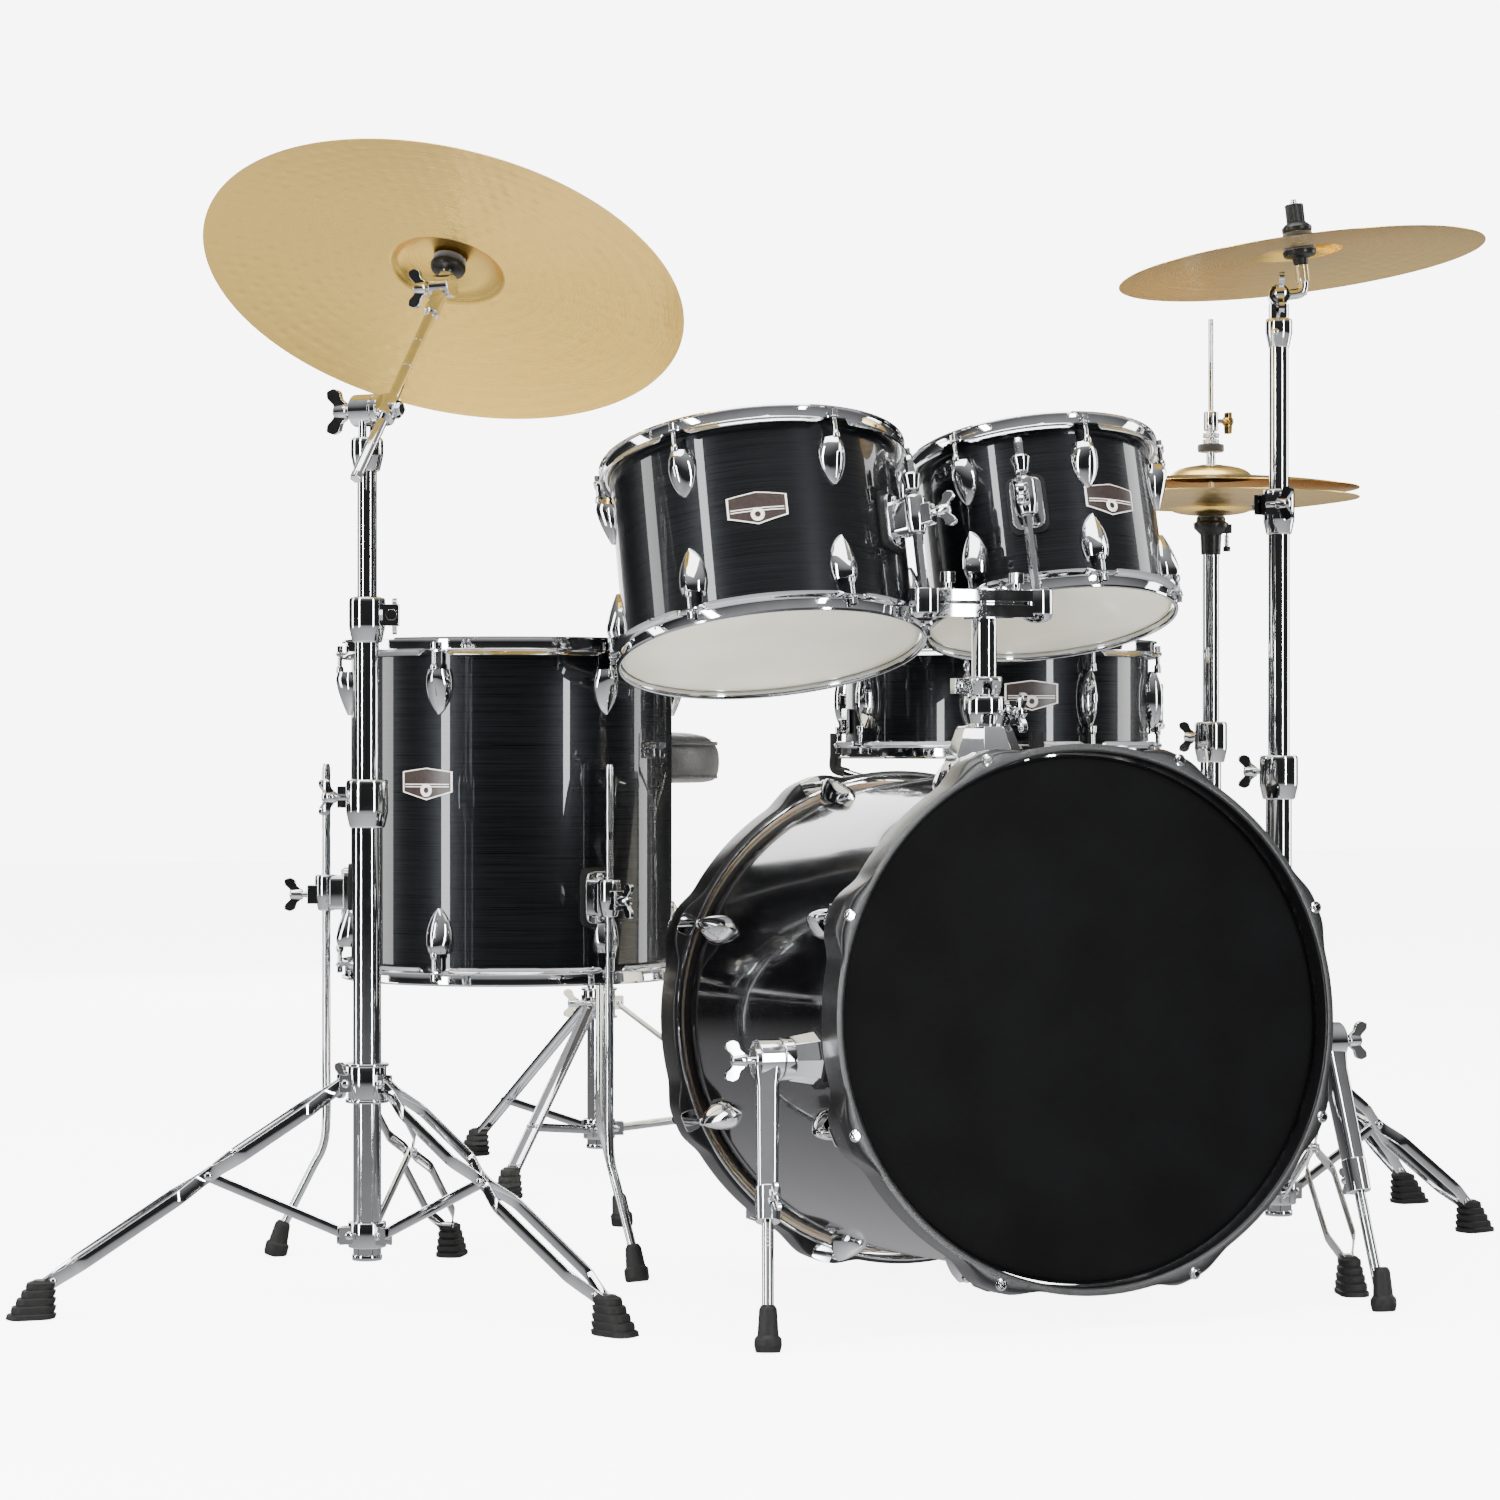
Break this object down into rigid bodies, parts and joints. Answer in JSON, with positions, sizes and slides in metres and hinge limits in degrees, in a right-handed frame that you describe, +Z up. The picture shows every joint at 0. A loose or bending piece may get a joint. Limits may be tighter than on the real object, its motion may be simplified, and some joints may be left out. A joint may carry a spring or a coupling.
{
  "type": "acoustic drum kit",
  "caption": "Acoustic drum kit with bass drum, mounted toms, floor tom, snare, hi-hat, crash and ride cymbals on stands, bass pedal and throne.",
  "frame": {"origin": "middle of the kit's footprint, on the floor", "axes": "+Z up, -Y towards the audience, the player sits on the +Y side, +X to the right seen from the front"},
  "size_m": [1.8054, 1.732, 1.1752],
  "materials": {
    "black_wrap": "glossy blue-black wrap with fine level hairlines",
    "black_gloss": "plain gloss black wrap",
    "black_hoop": "satin black lacquered hoop",
    "chrome": "mirror chrome",
    "black_head": "matte charcoal film",
    "white_head": "coated cream film",
    "brass": "pale hammered and lathed bronze alloy",
    "leather": "black grained cover over foam"
  },
  "bodies": {
    "root": {"bass_shell": "black_gloss", "bass_front_hoop": "black_hoop", "bass_rear_hoop": "black_hoop", "bass_front_head": "black_head", "bass_rear_head": "white_head", "tom_mount_base": "chrome", "floor_tom_shell": "black_wrap", "floor_tom_top_hoop": "chrome", "floor_tom_bottom_hoop": "chrome", "floor_tom_top_head": "white_head", "floor_tom_bottom_head": "white_head", "snare_base": "chrome", "hat_base": "chrome", "crash_base": "chrome", "ride_base": "chrome", "throne_base": "chrome", "pedal_frame": "chrome"},
    "spur_left": {"spur_left": "chrome"},
    "spur_right": {"spur_right": "chrome"},
    "tom_post": {"tom_post": "chrome"},
    "left_tom_arm": {"left_tom_rod": "chrome"},
    "left_tom": {"left_tom_shell": "black_wrap", "left_tom_top_hoop": "chrome", "left_tom_bottom_hoop": "chrome", "left_tom_top_head": "white_head", "left_tom_bottom_head": "white_head"},
    "right_tom_arm": {"right_tom_rod": "chrome"},
    "right_tom": {"right_tom_shell": "black_wrap", "right_tom_top_hoop": "chrome", "right_tom_bottom_hoop": "chrome", "right_tom_top_head": "white_head", "right_tom_bottom_head": "white_head"},
    "floor_leg_left": {"floor_leg_left": "chrome"},
    "floor_leg_front": {"floor_leg_front": "chrome"},
    "floor_leg_rear": {"floor_leg_rear": "chrome"},
    "snare_stand_tube": {"snare_stand_tube": "chrome"},
    "snare_drum": {"snare_basket": "chrome", "snare_shell": "black_wrap", "snare_top_hoop": "chrome", "snare_bottom_hoop": "chrome", "snare_top_head": "white_head", "snare_bottom_head": "white_head"},
    "snare_strainer_lever": {"snare_strainer_lever": "chrome"},
    "hat_upper_tube": {"hat_upper_tube": "chrome", "hat_bottom_cymbal": "brass"},
    "hat_rod": {"hat_rod": "chrome", "hat_top_cymbal": "brass"},
    "hat_footboard": {"hat_footboard": "chrome"},
    "crash_tube": {"crash_tube": "chrome"},
    "crash_tilter": {"crash_tilter": "chrome"},
    "crash_cymbal": {"crash_cymbal": "brass"},
    "ride_middle_tube": {"ride_middle_tube": "chrome"},
    "ride_upper_tube": {"ride_upper_tube": "chrome"},
    "ride_boom": {"ride_boom": "chrome"},
    "ride_tilter": {"ride_tilter": "chrome"},
    "ride_cymbal": {"ride_cymbal": "brass"},
    "throne_post": {"throne_post": "chrome"},
    "throne_seat": {"throne_seat": "leather"},
    "pedal_footboard": {"pedal_footboard": "chrome"},
    "pedal_beater": {"pedal_beater": "chrome"}
  },
  "joints": [
    {"name": "spur_left_fold", "type": "hinge", "parent": "root", "child": "spur_left", "pos_m": [-0.2105, -0.73995, 0.262], "axis": [1, 0, 0], "range_deg": [0, 110]},
    {"name": "spur_right_fold", "type": "hinge", "parent": "root", "child": "spur_right", "pos_m": [0.3695, -0.73995, 0.262], "axis": [1, 0, 0], "range_deg": [0, 110]},
    {"name": "tom_post_height", "type": "slide", "parent": "root", "child": "tom_post", "axis": [0, 0, 1], "range_m": [-0.03, 0.06]},
    {"name": "left_tom_tilt", "type": "hinge", "parent": "tom_post", "child": "left_tom_arm", "pos_m": [0.00174, -0.59095, 0.7135], "axis": [1, 0, 0], "range_deg": [-8, 8]},
    {"name": "left_tom_height", "type": "slide", "parent": "left_tom_arm", "child": "left_tom", "axis": [0, 0.2672, 0.9636], "range_m": [-0.02, 0.03]},
    {"name": "right_tom_tilt", "type": "hinge", "parent": "tom_post", "child": "right_tom_arm", "pos_m": [0.12863, -0.59226, 0.7135], "axis": [1, 0, 0], "range_deg": [-8, 8]},
    {"name": "right_tom_height", "type": "slide", "parent": "right_tom_arm", "child": "right_tom", "axis": [0, 0.2672, 0.9636], "range_m": [-0.02, 0.03]},
    {"name": "floor_leg_left_height", "type": "slide", "parent": "root", "child": "floor_leg_left", "axis": [0, 0, 1], "range_m": [0, 0.12]},
    {"name": "floor_leg_front_height", "type": "slide", "parent": "root", "child": "floor_leg_front", "axis": [0, 0, 1], "range_m": [0, 0.12]},
    {"name": "floor_leg_rear_height", "type": "slide", "parent": "root", "child": "floor_leg_rear", "axis": [0, 0, 1], "range_m": [0, 0.12]},
    {"name": "snare_height", "type": "slide", "parent": "root", "child": "snare_stand_tube", "axis": [0, 0, 1], "range_m": [-0.05, 0.03]},
    {"name": "snare_tilt", "type": "hinge", "parent": "snare_stand_tube", "child": "snare_drum", "pos_m": [0.309, -0.10295, 0.45], "axis": [1, 0, 0], "range_deg": [-15, 4]},
    {"name": "snare_strainer_throw", "type": "hinge", "parent": "snare_drum", "child": "snare_strainer_lever", "pos_m": [0.50211, -0.14576, 0.5885], "axis": [0.2164, 0.9763, 0], "range_deg": [0, 80]},
    {"name": "hat_height", "type": "slide", "parent": "root", "child": "hat_upper_tube", "axis": [0, 0, 1], "range_m": [-0.06, 0.06]},
    {"name": "hat_rod_travel", "type": "slide", "parent": "hat_upper_tube", "child": "hat_rod", "axis": [0, 0, 1], "range_m": [-0.0075, 0.0001]},
    {"name": "hat_board_press", "type": "hinge", "parent": "root", "child": "hat_footboard", "pos_m": [0.5975, 0.20505, 0.016], "axis": [1, 0, 0], "range_deg": [0, 1.6], "stiffness_Nm_per_rad": 60, "springref_deg": -8.59},
    {"name": "crash_height", "type": "slide", "parent": "root", "child": "crash_tube", "axis": [0, 0, 1], "range_m": [-0.1, 0.06]},
    {"name": "crash_tilt", "type": "hinge", "parent": "crash_tube", "child": "crash_tilter", "pos_m": [0.5025, -0.43095, 1.066], "axis": [-0.4125, -0.911, 0], "range_deg": [-15, 15]},
    {"name": "crash_spin", "type": "hinge", "parent": "crash_tilter", "child": "crash_cymbal", "pos_m": [0.5255, -0.43995, 1.1], "axis": [-0.087, 0.081, 0.9929], "continuous": true},
    {"name": "ride_middle_height", "type": "slide", "parent": "root", "child": "ride_middle_tube", "axis": [0, 0, 1], "range_m": [-0.03, 0.06]},
    {"name": "ride_upper_height", "type": "slide", "parent": "ride_middle_tube", "child": "ride_upper_tube", "axis": [0, 0, 1], "range_m": [-0.02, 0.06]},
    {"name": "ride_boom_pivot", "type": "hinge", "parent": "ride_upper_tube", "child": "ride_boom", "pos_m": [-0.52121, -0.42957, 0.905], "axis": [0.6789, -0.7342, 0], "range_deg": [-5, 20]},
    {"name": "ride_tilt", "type": "hinge", "parent": "ride_boom", "child": "ride_tilter", "pos_m": [-0.4405, -0.35495, 1.042], "axis": [0.6789, -0.7342, 0], "range_deg": [-8, 15]},
    {"name": "ride_spin", "type": "hinge", "parent": "ride_tilter", "child": "ride_cymbal", "pos_m": [-0.4405, -0.35495, 1.042], "axis": [0.3061, 0.3501, 0.8853], "continuous": true},
    {"name": "throne_height", "type": "slide", "parent": "root", "child": "throne_post", "axis": [0, 0, 1], "range_m": [-0.03, 0.08]},
    {"name": "throne_swivel", "type": "hinge", "parent": "throne_post", "child": "throne_seat", "pos_m": [0.0395, 0.56205, 0.516], "axis": [0, 0, 1], "continuous": true},
    {"name": "pedal_board_press", "type": "hinge", "parent": "root", "child": "pedal_footboard", "pos_m": [0.0795, 0.02705, 0.026], "axis": [1, 0, 0], "range_deg": [0, 10], "stiffness_Nm_per_rad": 8, "springref_deg": -14.32},
    {"name": "pedal_beater_swing", "type": "hinge", "parent": "root", "child": "pedal_beater", "pos_m": [0.0795, -0.24295, 0.125], "axis": [1, 0, 0], "range_deg": [0, 58]}
  ],
  "couplings": [
    {"joint": "hat_rod_travel", "follows": "hat_board_press", "m_per_rad": -0.25},
    {"joint": "pedal_beater_swing", "follows": "pedal_board_press", "ratio": 5.7}
  ]
}
